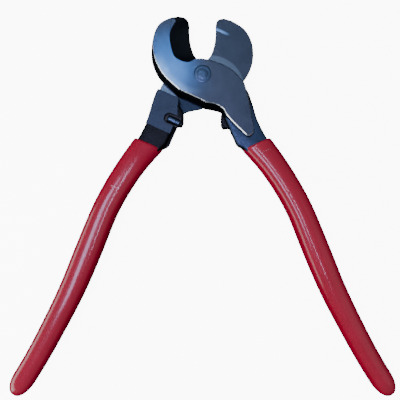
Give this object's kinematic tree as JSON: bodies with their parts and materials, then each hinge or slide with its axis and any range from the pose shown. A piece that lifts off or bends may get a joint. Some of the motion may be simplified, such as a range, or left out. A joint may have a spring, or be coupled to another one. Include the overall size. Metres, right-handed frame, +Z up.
{
  "type": "cable cutter",
  "caption": "Hand cable cutter with curved lapping jaws on a flush pivot rivet, forged necks with stop pins, and long bowed handles in dipped red grips.",
  "frame": {"origin": "where the pivot axis meets the plane the tool lies on, the ground outer face of the rear half", "axes": "+Z up along the pivot axis through the head, +Y from the pivot towards the jaw tips, +X across the tool; drawn fully open"},
  "size_m": [0.2194, 0.2132, 0.015],
  "materials": {
    "forged_steel": "ground faces, black forged walls",
    "rivet_steel": "ground flush",
    "pin_steel": "bright turned",
    "red_pvc": "glossy dipped"
  },
  "bodies": {
    "rear": {"rear_half": "forged_steel", "rear_stop_pin": "pin_steel", "rear_grip": "red_pvc", "pivot_rivet": "rivet_steel"},
    "front": {"front_half": "forged_steel", "front_stop_pin": "pin_steel", "front_grip": "red_pvc"}
  },
  "joints": [
    {"name": "pivot", "type": "hinge", "parent": "rear", "child": "front", "pos_m": [0, 0, 0.0075], "axis": [0, 0, 1], "range_deg": [-48.6, 0]}
  ]
}
